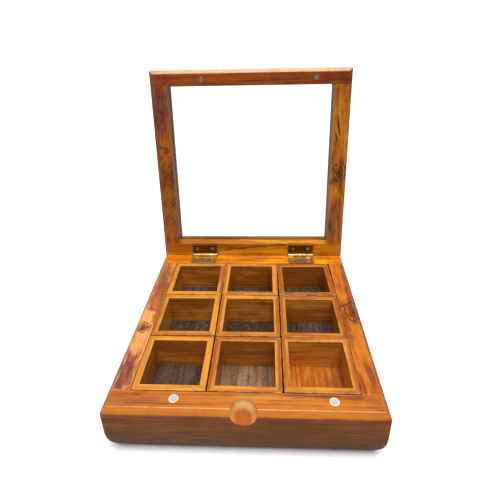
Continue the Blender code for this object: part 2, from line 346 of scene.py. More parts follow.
# %% Wood figure group: growth rings
figure, take, give = fresh_group(
    "wood_figure",
    {"Board": (0, 0, 0), "Tone": 0.5, "Light": (0.6, 0.3, 0.1, 1), "Middle": (0.4, 0.16, 0.04, 1),
     "Dark": (0.1, 0.04, 0.02, 1), "Pith": (0, 0.05, -0.04), "Ring Gap": 0.0045, "Ring Strength": 0.35,
     "Wander": 0.007, "Smoke": 0.42, "Contrast": 1.3, "Cloud": 0.3},
    {"Colour": "Color", "Roughness": "Float", "Height": "Float"})
board = take["Board"]
drift = aim(figure, "SUBTRACT", noise(figure, board, (8, 24, 24), 1, output="Color"), (0.5, 0.5, 0.5))
sway = figure.nodes.new("ShaderNodeVectorMath")
sway.operation = "SCALE"
figure.links.new(drift, sway.inputs[0])
figure.links.new(take["Wander"], sway.inputs["Scale"])
spot = aim(figure, "ADD", board, sway.outputs["Vector"])
from_pith = aim(figure, "MULTIPLY", aim(figure, "SUBTRACT", spot, take["Pith"]), (0.03, 1, 1))
turn = calc(figure, "FRACT", calc(figure, "DIVIDE", aim(figure, "LENGTH", from_pith), take["Ring Gap"]))
late = times(figure, span(figure, turn, 0.3, 0.92), span(figure, turn, 1.0, 0.93))
patchy = span(figure, noise(figure, board, (14, 75, 75), 3), 0.40, 0.62)
ring = times(figure, times(figure, late, patchy), take["Ring Strength"])

# %% Wood figure group: streaks, smoke and fibres
slow = noise(figure, board, (10, 42, 42), 3, 0.55)
streak = noise(figure, spot, (12, 380, 380), 2, 0.6)
fine = noise(figure, spot, (30, 1000, 1000), 2)
fibre = noise(figure, board, (90, 3200, 3200), 1)
smoke = span(figure, noise(figure, spot, (7, 170, 170), 2, 0.5), 0.52, 0.68)
smoke = times(figure, smoke, take["Smoke"])
swing = calc(figure, "ADD", centred(figure, slow, 3.0), centred(figure, streak, 1.7))
cloud = centred(figure, noise(figure, spot, (60, 150, 150), 4, 0.65), 5.0)
swing = calc(figure, "MULTIPLY_ADD", cloud, take["Cloud"], swing)
share = calc(figure, "MULTIPLY_ADD", swing, take["Contrast"], take["Tone"], clamp=True)
colour = blend(figure, share, take["Light"], take["Middle"])
dark = calc(figure, "ADD", calc(figure, "MAXIMUM", ring, smoke), centred(figure, fine, 0.8), clamp=True)
dark = calc(figure, "ADD", dark, centred(figure, fibre, 0.3), clamp=True)
colour = blend(figure, dark, colour, take["Dark"])
pore = span(figure, noise(figure, board, (230, 2600, 2600), 1), 0.64, 0.72)
colour = blend(figure, times(figure, pore, 0.55), colour, take["Dark"])
figure.links.new(colour, give["Colour"])
sheen = calc(figure, "MULTIPLY_ADD", streak, 0.2, 0.22)
feed(figure, give["Roughness"], calc(figure, "ADD", sheen, times(figure, dark, 0.12)))
feed(figure, give["Height"], calc(figure, "SUBTRACT", times(figure, fibre, 0.4), pore))
print("wood figure group:", len(figure.nodes), "nodes")

# %% [markdown]
# ### Marks, knots, and worn and lit edges
# Some features belong to one place on one board: a dark streak, a burl patch, a knot. Each is a soft ellipsoid set
# in the board, torn at its edge by a noise, so that it also passes through to the next face. Edges are made
# paler in patches: partly rubbed where hands and the lid touch them, partly painted highlights along the edges.

# %% Mark group: one dark or pale stain set in a board
ON_BOARD = {"Colour": (1, 1, 1, 1), "Board": (0, 0, 0)}
mark_group, take, give = fresh_group(
    "wood_mark",
    {**ON_BOARD, "Centre": (0, 0, 0), "Size": (0.01, 0.01, 0.01),
     "Turn": (0, 0, 0), "Strength": 0.8, "Stain": (0.05, 0.02, 0.01, 1), "Torn": 0.9, "Lines": 0.45},
    {"Colour": "Color"})
swivel = mark_group.nodes.new("ShaderNodeVectorRotate")
swivel.rotation_type = "EULER_XYZ"
for label in ("Vector", "Center", "Rotation"):
    source = {"Vector": "Board", "Center": "Centre", "Rotation": "Turn"}[label]
    mark_group.links.new(take[source], swivel.inputs[label])
local = aim(mark_group, "SUBTRACT", swivel.outputs["Vector"], take["Centre"])
reach = aim(mark_group, "LENGTH", aim(mark_group, "DIVIDE", local, take["Size"]))
tear = centred(mark_group, noise(mark_group, local, (70, 420, 420), 3, 0.55), 1.6)
ragged = times(mark_group, tear, take["Torn"])
mask = span(mark_group, calc(mark_group, "ADD", reach, ragged), 1.15, 0.35)
lines = span(mark_group, noise(mark_group, local, (45, 620, 620), 3), 0.62, 0.42)
lines = calc(mark_group, "SUBTRACT", 1.0, times(mark_group, lines, take["Lines"]))
mask = times(mark_group, times(mark_group, mask, lines), take["Strength"], clamp=True)
mark_group.links.new(blend(mark_group, mask, take["Colour"], take["Stain"]), give["Colour"])

# %% Knot group: a dark eye with feathered rays
knot_group, take, give = fresh_group(
    "wood_knot",
    {**ON_BOARD, "Centre": (0, 0, 0), "Size": 0.006, "Eye": (0.05, 0.016, 0.008, 1)},
    {"Colour": "Color"})
local = aim(knot_group, "MULTIPLY", aim(knot_group, "SUBTRACT", take["Board"], take["Centre"]), (0.6, 1, 0.2))
reach = calc(knot_group, "DIVIDE", aim(knot_group, "LENGTH", local), take["Size"])
bent = calc(knot_group, "ADD", reach, centred(knot_group, noise(knot_group, local, (230, 230, 230), 3), 0.9))
rings = span(knot_group, calc(knot_group, "SINE", times(knot_group, bent, 17)), -0.1, 0.7)
broken = span(knot_group, noise(knot_group, local, (420, 420, 420), 2), 0.3, 0.5)
halo = times(knot_group, span(knot_group, bent, 1.3, 0.8), times(knot_group, rings, broken))
shade = span(knot_group, bent, 1.0, 0.1, 0.0, 0.65)
eye = span(knot_group, bent, 0.3, 0.1)
mask = calc(knot_group, "MAXIMUM", calc(knot_group, "MAXIMUM", halo, shade), eye, clamp=True)
knot_group.links.new(blend(knot_group, mask, take["Colour"], take["Eye"]), give["Colour"])

# %% Worn and lit edge group: rubbed edges and painted highlights on the eased edges
worn_and_lit_edge_group, take, give = fresh_group(
    "worn_and_lit_edge", {**ON_BOARD, "Edge": 0.0, "Bare": (0.8, 0.5, 0.2, 1), "Wear": 0.5},
    {"Colour": "Color"})
# patches of paler edge: rubbed wood, and painted highlights where the edges catch the light
rubbed = span(worn_and_lit_edge_group, noise(worn_and_lit_edge_group, take["Board"], (110, 110, 110), 3, 0.65), 0.38, 0.58)
worn_lit = times(worn_and_lit_edge_group, times(worn_and_lit_edge_group, rubbed, take["Edge"]), take["Wear"])
worn_and_lit_edge_group.links.new(blend(worn_and_lit_edge_group, worn_lit, take["Colour"], take["Bare"]), give["Colour"])
print(worn_and_lit_edge_group.name, len(worn_and_lit_edge_group.nodes), "nodes")

# %% [markdown]
# ### Heartwood, painted gap shade and spice dust
# A cup wall is sawn where red heartwood meets paler wood, so a red band shows along its outer part. Painted shade
# darkens only the eased outer edge, where the cups meet and the gap between them lies in shade. Dust of ground
# spice lies in drifts and specks inside. Each could be painted by hand, but one group with amounts lets every wall
# differ.

# %% Heart band group, with painted shade on the outer edge
heart_and_gap_shade_group, take, give = fresh_group(
    "heart_band_and_gap_shade", {**ON_BOARD, "Outer": 0.0, "Red": 0.0, "Edge": 0.0,
                   "Heart": (0.3, 0.07, 0.02, 1), "Gap Shade": (0.04, 0.015, 0.006, 1)},
    {"Colour": "Color"})
ragged = centred(heart_and_gap_shade_group, noise(heart_and_gap_shade_group, take["Board"], (25, 300, 300), 2), 0.6)
band = span(heart_and_gap_shade_group, calc(heart_and_gap_shade_group, "MULTIPLY_ADD", take["Outer"], take["Red"], ragged), 0.15, 0.6, 0.0, 0.9)
colour = blend(heart_and_gap_shade_group, band, take["Colour"], take["Heart"])
# painted shade on the eased outer edge, where the cups meet
gap_shade = times(heart_and_gap_shade_group, span(heart_and_gap_shade_group, take["Outer"], 0.91, 1.0, 0.0, 0.85), take["Edge"])
heart_and_gap_shade_group.links.new(blend(heart_and_gap_shade_group, gap_shade, colour, take["Gap Shade"]), give["Colour"])
print(heart_and_gap_shade_group.name, len(heart_and_gap_shade_group.nodes), "nodes")

# %% Spice dust group
dust_group, take, give = fresh_group(
    "spice_dust", {"Colour": (1, 1, 1, 1), "Roughness": 0.3, "Board": (0, 0, 0), "Amount": 0.5,
                   "Grit": (0.62, 0.45, 0.27, 1)},
    {"Colour": "Color", "Roughness": "Float"})
speck = dust_group.nodes.new("ShaderNodeTexVoronoi")
speck.inputs["Scale"].default_value = 520
dust_group.links.new(take["Board"], speck.inputs["Vector"])
drifts = span(dust_group, noise(dust_group, take["Board"], (70, 70, 70), 3), 0.45, 0.65)
grains = times(dust_group, span(dust_group, speck.outputs["Distance"], 0.26, 0.10), drifts)
powder = span(dust_group, noise(dust_group, take["Board"], (300, 300, 300), 4), 0.5, 0.8)
powder = times(dust_group, powder, 0.35)
cover = times(dust_group, calc(dust_group, "MAXIMUM", grains, powder), take["Amount"], clamp=True)
dust_group.links.new(blend(dust_group, cover, take["Colour"], take["Grit"]), give["Colour"])
feed(dust_group, give["Roughness"], calc(dust_group, "MULTIPLY_ADD", cover, 0.4, take["Roughness"], clamp=True))
print("groups:", [g.name for g in bpy.data.node_groups if g.type == "SHADER"])


# %% Build one lacquered board material
def material_of(name):
    """A new node material and its Principled shader."""
    mat = bpy.data.materials.new(name)
    mat.use_nodes = True
    return mat, mat.node_tree, mat.node_tree.nodes["Principled BSDF"]


def use(tree, group, **values):
    """Place a group; keyword names stand for its inputs, with _ for a space."""
    made = tree.nodes.new("ShaderNodeGroup")
    made.node_tree = group
    for label, value in values.items():
        feed(tree, made.inputs[label.replace("_", " ")], value)
    return made.outputs


def read(tree, layer):
    """An Attribute node that reads one of the piece's own layers."""
    made = tree.nodes.new("ShaderNodeAttribute")
    made.attribute_name = layer
    return made.outputs["Vector" if layer == "board" else "Fac"]


def bump(tree, shader, height, depth, strength=0.4):
    """Raise the surface by a height pattern, its depth in metres."""
    made = tree.nodes.new("ShaderNodeBump")
    made.inputs["Strength"].default_value, made.inputs["Distance"].default_value = strength, depth
    feed(tree, made.inputs["Height"], height)
    feed(tree, shader.inputs["Normal"], made.outputs["Normal"])


def lacquered(name, average, marks=(), knots=(), coat=0.3, wear_and_highlight=0.35, dust=0.0, heart=None, dull=0.0,
              **figure_values):
    """Lacquered hardwood whose colours lie round an average; marks and knots are set at board places."""
    mat, tree, shader = material_of(name)
    board = read(tree, "board")
    red, green, blue = average
    out = use(tree, figure, Board=board, Tone=read(tree, "tone"), Light=(1.35 * red, 1.5 * green, 1.8 * blue, 1),
              Middle=(0.78 * red, 0.62 * green, 0.4 * blue, 1), Dark=(0.2 * red, 0.13 * green, 0.2 * blue, 1),
              **figure_values)
    colour, rough = out["Colour"], out["Roughness"]
    if heart:
        colour = use(tree, heart_and_gap_shade_group, Colour=colour, Board=board, Outer=read(tree, "outer"),
                     Red=read(tree, "red"), Edge=read(tree, "rim"), Heart=(*heart, 1))["Colour"]
    for values in marks:
        colour = use(tree, mark_group, Colour=colour, Board=board, **values)["Colour"]
    for centre, size in knots:
        colour = use(tree, knot_group, Colour=colour, Board=board, Centre=centre, Size=size)["Colour"]
    # the eased edges turn paler in patches: partly rubbed wood, partly painted highlight
    colour = use(tree, worn_and_lit_edge_group, Colour=colour, Board=board, Edge=read(tree, "rim"), Wear=wear_and_highlight,
                 Bare=(min(1, 1.7 * red + 0.05), min(1, 2.1 * green + 0.05), 3 * blue + 0.02, 1))["Colour"]
    if dust:
        powdered = use(tree, dust_group, Colour=colour, Roughness=rough, Board=board, Amount=dust)
        colour, rough = powdered["Colour"], powdered["Roughness"]
    if dull:
        rough = calc(tree, "ADD", rough, dull, clamp=True)
    feed(tree, shader.inputs["Base Color"], colour)
    feed(tree, shader.inputs["Roughness"], rough)
    shader.inputs["Coat Weight"].default_value = coat
    shader.inputs["Coat Roughness"].default_value = 0.08
    shader.inputs["Specular IOR Level"].default_value = 0.3
    bump(tree, shader, out["Height"], 0.00015)
    return mat


# %% [markdown]
# ### One finish for each rail
# The joiner sawed each tray rail and the lid rail above it from one board, so a knot in the tray's right rail comes
# back in the lid's right rail. Boards on the left and right run front to back, and their coordinates are (place
# along Y, minus X, Z). A mark is written where it lies on the real box, and `spot_on` turns it into board coordinates.

# %% Marks on the rails
MM = 0.001
STAIN = {"soot": (0.035, 0.012, 0.008, 1), "plum": (0.16, 0.035, 0.03, 1), "pale": (0.62, 0.27, 0.08, 1),
         "amber": (0.55, 0.17, 0.01, 1)}


def spot_on(way, x, y, z):
    """A place in the box, in millimetres, as the coordinates of a board that runs along x or along y."""
    return (x * MM, y * MM, z * MM) if way == "x" else (y * MM, -x * MM, z * MM)


BOLDER = 1.7             # the table's strengths are raised by this much


def stain(way, place, size, turn=0.0, strength=0.7, kind="soot", torn=0.9, lines=0.45):
    """A mark of the given size along, across and through the board, turned in the board's face by degrees."""
    return {"Centre": spot_on(way, *place), "Size": tuple(s * MM for s in size), "Turn": (0, 0, radians(turn)),
            "Strength": BOLDER * strength, "Stain": STAIN[kind], "Torn": torn, "Lines": lines}


def patch(place, size, strength, colour, torn=0.3, lines=0.45):
    """A mark with a colour of its own, unturned, on a board that runs along x; its strength isn't raised."""
    return {"Centre": spot_on("x", *place), "Size": tuple(s * MM for s in size), "Turn": (0, 0, 0),
            "Strength": strength, "Stain": (*colour, 1), "Torn": torn, "Lines": lines}


# for each rail: place, size, then turn, strength, stain, how torn and how much it shows as lines
MARKS_AT = {
    "tray_front": [
        ((60, -121, 52), (45, 1.2, 5), 0, 0.5), ((-60, -131, 52), (30, 1.0, 5), 1, 0.4),
        ((-92, -128, 50), (34, 8, 12), 0, 0.35, "plum"), ((20, -123, 52), (38, 2.5, 5), 0, 0.35, "pale"),
        ((72, -131, 51), (60, 9, 7), 0, 0.35, "amber")],
    "tray_back": [
        ((5, 83, 52), (38, 2.2, 6), -4, 0.5), ((92, 86, 52), (12, 1, 6), 3, 0.4),
        ((5, 87, 52), (70, 4, 6), 2, 0.3, "plum")],
    "tray_left": [
        ((-106, -100, 50), (30, 12, 12), 0, 0.85, "plum", 1.2),
        ((-111, -78, 52), (7, 2.5, 6), 10, 0.6, "plum", 1.4),
        ((-107, -66, 52), (20, 8, 6), 0, 0.3, "pale", 1.4),
        ((-104, -45, 52), (4, 9, 6), -25, 0.55, "soot", 1.6),
        ((-110, -33, 52), (16, 6, 6), 0, 0.35, "pale", 1.3),
        ((-105, -16, 52), (4, 9, 6), 20, 0.5, "plum", 1.3), ((-103, 72, 52), (9, 2.4, 5), 20, 0.5, "plum"),
        *[((-107, y, 52), (16, 14, 12), 40, 0.25, "soot", 0.9, 1.0) for y in (-2, 18, 38, 58)]],
    "tray_right": [
        ((101, -7, 52), (3, 7, 5), -22, 0.55, "soot", 1.3), ((103, 40, 52), (16, 1.1, 5), 4, 0.45),
        ((107, -96, 51), (17, 5, 10), -10, 0.5, "plum"), ((112, -60, 51), (22, 1.0, 6), 3, 0.45),
        ((105, -52, 52), (30, 4, 6), 5, 0.3, "amber")],
    "lid_front": [
        ((108, -124, 56), (9, 5, 12), 0, 0.3), ((-100, -130, 56), (16, 7, 12), 0, 0.4, "plum"),
        ((20, -126, 54), (60, 0.9, 6), 1, 0.5)],
    "lid_hinge": [
        ((-29, 84.0, 54), (20, 0.8, 5), 9.5, 0.75, "soot", 0.1, 0.2),
        ((16, 79.0, 54), (34, 0.8, 5), 5.6, 0.7, "soot", 0.1, 0.2),
        ((-30, 79.4, 54), (17, 0.75, 4), -10.2, 0.65, "soot", 0.1, 0.2),
        ((-12.5, 81.9, 54), (8, 1.3, 4), 4, 0.8, "soot", 0.2, 0.1), ((92, 84, 54), (20, 0.8, 5), 3, 0.3)],
    "lid_left": [
        ((-106, -98, 56), (46, 14, 14), 0, 0.6, "plum", 1.0),
        # the amber patch below is painted light that brightens the lower part of the open rail, which lies in shade
        # near the tray
        ((-105, 35, 54), (50, 10, 14), 0, 0.3, "amber"),
        ((-110.5, -84, 54), (6, 1.8, 8), 5, 0.8, "soot", 0.7),
        ((-109.0, -76, 54), (4, 1.4, 8), 0, 0.6, "soot", 0.7),
        ((-104, -109, 54), (3, 1.4, 5), 0, 0.6, "soot", 0.7),
        ((-104, -92, 54), (10, 1.4, 6), 55, 0.5, "soot", 1.2),
        ((-106, -50, 54), (2.4, 9, 9), -14, 0.55, "soot", 1.2),
        ((-101, -45, 54), (2.2, 6, 9), 20, 0.5, "soot", 1.2),
        ((-105, -18, 54), (8, 6, 10), 0, 0.35, "plum", 1.2),
        *[((-104, y, 56), (18, 15, 16), -48, 0.45, "soot", 0.9, 1.0) for y in (-22, 0, 22, 44)],
        *[((-103, y, 56), (18, 12, 16), -48, 0.5, "amber", 0.9, 1.0) for y in (8, 30, 52)]],
    "lid_right": [
        ((102, -74, 54), (15, 1.6, 8), 10, 0.85), ((100, -62, 54), (9, 1.3, 8), 16, 0.75),
        ((105.5, -89, 54), (10, 1.0, 8), 4, 0.6), ((98.5, 50, 56), (15, 1.8, 12), 4, 0.85),
        ((104, 24, 54), (20, 0.9, 8), -3, 0.4), ((99, -8, 54), (4, 8, 8), 25, 0.45, "soot", 1.3),
        ((101, 46, 56), (42, 9, 10), 0, 0.5, "plum")]}
RAIL_MARKS = {rail: [stain("y" if rail.endswith(("left", "right")) else "x", *row) for row in rows]
              for rail, rows in MARKS_AT.items()}
# painted shade on the tray's front face, and painted highlights along the edges of the tray front and the lid front
# that face the lamp
RAIL_MARKS["tray_front"] += [patch((0, -141, 22), (400, 13, 26), 0.95, (0.17, 0.066, 0.010), 0.0),
                             patch((0, -137, 50.5), (300, 3.5, 3.5), 0.6, (0.58, 0.17, 0.006))]
RAIL_MARKS["lid_front"] += [patch((0, -137.2, 54), (300, 3.5, 3.5), 1.1, (0.60, 0.30, 0.08)),
                            patch((0, -138.6, 57), (300, 1.8, 12), 0.9, (0.9, 0.5, 0.16), 0.2)]
inner_line = stain("x", (6.5, 76, 55.4), (46, 4, 0.8), 0, 0.7, "soot", 0.1, 0.2)
inner_line["Turn"] = (0, radians(-4.2), 0)
RAIL_MARKS["lid_hinge"].append(inner_line)
RAIL_KNOTS = {"tray_right": [(spot_on("y", 110, -18, 52), 0.0115)],
              "lid_right": [(spot_on("y", 106, -19, 53), 0.0085)],
              "tray_left": [(spot_on("y", -106, -44, 52), 0.0055)]}
print("marks:", {rail: len(marks) for rail, marks in RAIL_MARKS.items()})

# %% Rail finishes
RAIL_COLOURS = {"tray_front": (0.39, 0.105, 0.009), "tray_back": (0.68, 0.218, 0.001),
                "tray_left": (0.58, 0.21, 0.05), "tray_right": (0.41, 0.105, 0.006),
                "lid_front": (0.32, 0.062, 0.001), "lid_hinge": (0.58, 0.20, 0.002),
                "lid_left": (0.43, 0.098, 0.001), "lid_right": (0.56, 0.17, 0.001)}
FIGURE = {"tray_front": {"Pith": (0, -0.25, 0.06), "Ring_Gap": 0.0038, "Ring_Strength": 0.4, "Smoke": 0.3,
                         "Wander": 0.004},
          "tray_left": {"Smoke": 0.5, "Wander": 0.014, "Cloud": 1.0},
          "lid_left": {"Smoke": 0.55, "Wander": 0.014, "Cloud": 1.0},
          "tray_right": {"Pith": (0, -0.13, 0.02), "Cloud": 0.6},
          "lid_right": {"Pith": (0, -0.13, 0.02), "Smoke": 0.5, "Cloud": 0.7}}
rail_finish = {}
for rail, average in RAIL_COLOURS.items():
    rail_finish[rail] = lacquered(f"{rail}_wood", average, RAIL_MARKS[rail], RAIL_KNOTS.get(rail, ()),
                                  **FIGURE.get(rail, {}))

# %% Cup and panel finishes
cup_wood = lacquered("cup_wall_wood", (0.48, 0.168, 0.014), coat=0.2, wear_and_highlight=0.5, dust=0.12, Smoke=0.5,
                     heart=(0.31, 0.062, 0.008))
floor_finish = {"front_right": lacquered("amber_floor_wood", (0.42, 0.12, 0.008), dust=0.25),
                "front_middle": lacquered("dusty_floor_wood", (0.2, 0.11, 0.055), coat=0.05, dust=0.5, Smoke=0.5)}
floor_wood = lacquered("cup_floor_wood", (0.055, 0.03, 0.021), coat=0.05, dust=0.35, Ring_Strength=0.5, Smoke=0.5)
# the scoop is bare, dull wood; the pale patch on its upper part is a painted highlight and the dark patch on its lower
# part is painted shade
bare_wood_with_painted_light = lacquered("bare_wood_with_painted_light", (0.66, 0.32, 0.09), coat=0, wear_and_highlight=0, dull=0.4, Contrast=0.6,
                       Ring_Strength=0.15, Smoke=0.15,
                       marks=[patch((1, -125.5, 49), (13, 6, 10), 0.9, (1.0, 0.62, 0.24), 0.2, 0.2),
                              patch((-1, -132, 38.5), (12, 12, 9), 1.25, (0.33, 0.085, 0.005), 0.1, 0.2)])
panel_wood = lacquered("panel_wood", (0.2, 0.09, 0.04), coat=0.1)
print("finishes:", len(rail_finish) + 5)

# %% [markdown]
# ### Metal and glass
# Old brass is bright where it is rubbed and brown where it isn't. One metal group gives every fitting a tarnish that
# comes and goes and a fine brushing along one direction; the colours differ from fitting to fitting.

# %% Metal group and the metals
metal_group, take, give = fresh_group(
    "rubbed_metal", {"Place": (0, 0, 0), "Bright": (0.8, 0.6, 0.3, 1), "Tarnish": (0.2, 0.12, 0.05, 1), "Age": 0.5,
                     "Polish": 0.25},
    {"Colour": "Color", "Roughness": "Float", "Height": "Float"})
bloom = noise(metal_group, take["Place"], (190, 260, 260), 4, 0.6)
brushed = noise(metal_group, take["Place"], (150, 5200, 5200), 2)
aged = span(metal_group, calc(metal_group, "ADD", bloom, centred(metal_group, take["Age"], 0.6)), 0.35, 0.65)
aged = calc(metal_group, "ADD", aged, centred(metal_group, brushed, 0.35), clamp=True)
metal_group.links.new(blend(metal_group, aged, take["Bright"], take["Tarnish"]), give["Colour"])
feed(metal_group, give["Roughness"], calc(metal_group, "MULTIPLY_ADD", aged, 0.25, take["Polish"]))
metal_group.links.new(brushed, give["Height"])


def metal(name, bright, tarnish, age=0.5, polish=0.25, metallic=1.0):
    """A metal finish with tarnish and brushing; a frosted plating is less than fully metallic."""
    mat, tree, shader = material_of(name)
    place = tree.nodes.new("ShaderNodeTexCoord").outputs["Object"]
    out = use(tree, metal_group, Place=place, Bright=(*bright, 1), Tarnish=(*tarnish, 1), Age=age, Polish=polish)
    feed(tree, shader.inputs["Base Color"], out["Colour"])
    feed(tree, shader.inputs["Roughness"], out["Roughness"])
    shader.inputs["Metallic"].default_value = metallic
    bump(tree, shader, out["Height"], 0.00004)
    return mat


tan_brass = metal("tan_brass", (0.80, 0.52, 0.22), (0.42, 0.22, 0.08), 0.5)
dark_brass = metal("dark_brass", (0.30, 0.12, 0.02), (0.12, 0.05, 0.015), 0.6, 0.3)
pin_brass = metal("pin_brass", (0.72, 0.52, 0.18), (0.42, 0.26, 0.08), 0.4, 0.38)
screw_brass = metal("screw_brass", (0.85, 0.62, 0.32), (0.25, 0.13, 0.05), 0.5)
nickel = metal("magnet_nickel", (0.62, 0.64, 0.62), (0.5, 0.47, 0.4), 0.3, 0.3, 0.45)
strike_steel = metal("strike_steel", (0.6, 0.4, 0.32), (0.2, 0.1, 0.07), 0.4, 0.25, 0.7)

# %% Glue and glass
glue, tree, shader = material_of("glue_ring")
place = tree.nodes.new("ShaderNodeTexCoord").outputs["Object"]
lumps = noise(tree, place, (900, 900, 900), 3)
cream, amber_glue = (0.85, 0.78, 0.62, 1), (0.62, 0.46, 0.24, 1)
feed(tree, shader.inputs["Base Color"], blend(tree, span(tree, lumps, 0.35, 0.7), cream, amber_glue))
feed(tree, shader.inputs["Roughness"], span(tree, lumps, 0.3, 0.7, 0.25, 0.5))
bump(tree, shader, lumps, 0.0002)

clear_glass, tree, shader = material_of("clear_glass")
place = tree.nodes.new("ShaderNodeTexCoord").outputs["Object"]
smears = span(tree, noise(tree, place, (26, 26, 60), 4, 0.65), 0.5, 0.75)
feed(tree, shader.inputs["Roughness"], times(tree, smears, 0.03))
shader.inputs["Base Color"].default_value = (0.97, 1, 0.985, 1)
shader.inputs["Transmission Weight"].default_value = 1
shader.inputs["IOR"].default_value = 1.45
print("materials:", len(bpy.data.materials))

# %% [markdown]
# ## Tray rails
# The front and back rails run the full width and the side rails butt between them. Every outer edge has a flat
# chamfer above and a deep rounding below. A groove inside takes the bottom panel. The rails are cut before they are
# eased, so that the small rounding follows each cut edge, as sandpaper would.

# %% Rails of the tray
GROOVE_DEEP, GROOVE_PLAY = 0.005, 0.0003


def rail_block(name, side, inner, ends, low, high):
    """A board on one side of a square frame: full width at the front and back, else between them."""
    if side in ("front", "back"):
        ys = (tray_front, inner) if side == "front" else (inner, tray_back)
        return block(name, (-half_width, ys[0], low), (half_width, ys[1], high))
    xs = (-half_width, -inner) if side == "left" else (inner, half_width)
    return block(name, (xs[0], ends[0] + JOINT, low), (xs[1], ends[1] - JOINT, high))


def groove(board, half, front, back, low, high):
    """Plough the groove that holds a panel or a pane."""
    carve(board, block("groove", (-half - GROOVE_DEEP, front - GROOVE_DEEP, low - GROOVE_PLAY),
                       (half + GROOVE_DEEP, back + GROOVE_DEEP, high + GROOVE_PLAY)))


tray_rails = {}
for side, inner in (("front", cavity_front), ("back", cavity_back), ("left", cavity_x), ("right", cavity_x)):
    rail = rail_block(f"tray_rail_{side}", side, inner, (cavity_front, cavity_back), 0, tray_top)
    for face in ("left", "right", side) if side in ("front", "back") else (side,):
        chamfer(rail, face, tray_top, CHAMFER, BACK_DROP if face == "back" else CHAMFER)
        mould_lower_edge(rail, face)
    groove(rail, cavity_x, cavity_front, cavity_back, panel_low.z, panel_high.z)
    tray_rails[side] = rail
    print(rail.name, len(rail.data.vertices), "points")

# %% Hinge recesses, then ease the rails
RECESS_WIDTH, RECESS_DEPTH, OVERCUT = 0.034, 0.0019, 0.003
hinge_xs = [sum(c.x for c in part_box(f"hinge_{s}_pin")) / 2 for s in ("left", "right")]


def recesses(rail, inner, low, high):
    """Chisel the two seats of the hinge leaves, from the rail's inner face out through its back."""
    for x in hinge_xs:
        carve(rail, block("recess", (x - RECESS_WIDTH / 2, inner - OVERCUT, low),
                          (x + RECESS_WIDTH / 2, tray_back + OVERCUT, high)))


recesses(tray_rails["back"], cavity_back, tray_top - RECESS_DEPTH, tray_top + OVERCUT)
EASE = 0.0005
for rail in tray_rails.values():
    ease(rail, EASE)
print("hinges at", [round(x, 4) for x in hinge_xs])

# %% [markdown]
# ## Thumb scoop and magnets
# The scoop is what a round-nosed cutter leaves when it is pushed into the front edge at 45 degrees: a hollow ball. A
# sphere is taken away with a Boolean; a dent made with proportional editing would have no crisp rim. Two round
# magnets are glued in flat-bottomed holes, and a cream ring of glue shows round each.

# %% Hollow the scoop and drill for the magnets
def drill(board, centre, radius, depth, turned=None):
    """A round hole with its mouth at centre, going down; turned moves the drill afterwards."""
    bpy.ops.object.select_all(action="DESELECT")
    bpy.ops.mesh.primitive_cylinder_add(vertices=48, radius=radius, depth=depth + OVERCUT,
                                        location=Vector(centre) + UP * (OVERCUT - depth) / 2)
    bit = bpy.context.object
    bpy.ops.object.transform_apply(location=True, rotation=True, scale=True)
    if turned:
        bit.data.transform(turned)
    carve(board, bit)


SCOOP_R, SCOOP_IN = 0.0112, 0.0028
bpy.ops.object.select_all(action="DESELECT")
bpy.ops.mesh.primitive_uv_sphere_add(segments=72, ring_count=36, radius=SCOOP_R,
                                     location=(0, tray_front + SCOOP_IN, tray_top - SCOOP_IN))
carve(tray_rails["front"], bpy.context.object)

HOLE_PLAY = 0.0001
magnet_boxes = {side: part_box(f"base_magnet_{side}") for side in ("left", "right")}
for low, high in magnet_boxes.values():
    centre = (low + high) / 2
    drill(tray_rails["front"], (centre.x, centre.y, high.z), (high.x - low.x) / 2 + HOLE_PLAY, high.z - low.z)
only(tray_rails["front"])
bpy.ops.object.shade_smooth_by_angle(angle=radians(CRISP))

# %% Finish the tray rails, with bare wood, a painted highlight and painted shade in the scoop
for side, rail in tray_rails.items():
    mark_grain(rail, *GRAIN_WAY[side])
    settle(rail, "tray", f"base_{side}_rail", slot=f"base_{side}_wood", material=rail_finish[f"tray_{side}"])

ON_BALL = 0.0002         # a face this near the ball's surface belongs to the scoop
tray_rails["front"].data.materials.append(bare_wood_with_painted_light)
ball = Vector((0, tray_front + SCOOP_IN, tray_top - SCOOP_IN))
for face in tray_rails["front"].data.polygons:
    face.material_index = int(abs((face.center - ball).length - SCOOP_R) < ON_BALL)
print("scoop faces:", sum(face.material_index for face in tray_rails["front"].data.polygons))

# %% Painted highlight on the walls of the hinge recesses
STANDS_UP = 0.9          # a face whose normal rises less than this is a wall, not a seat


def paint_recess_highlight(rail, level):
    """Paint the little upright walls of the hinge recesses with the pale scoop wood, as a painted highlight where the
    recess edges catch the light.
    """
    rail.data.materials.append(bare_wood_with_painted_light)
    for face in rail.data.polygons:
        near = any(abs(face.center.x - x) < RECESS_WIDTH / 2 + 2 * EASE for x in hinge_xs)
        inside = abs(face.center.z - level) < RECESS_DEPTH and abs(face.normal.z) < STANDS_UP
        face.material_index = int(near and inside and face.area < RECESS_WIDTH * RECESS_DEPTH * 1.1)


paint_recess_highlight(tray_rails["back"], tray_top)
print("recess wall faces:", sum(face.material_index for face in tray_rails["back"].data.polygons))

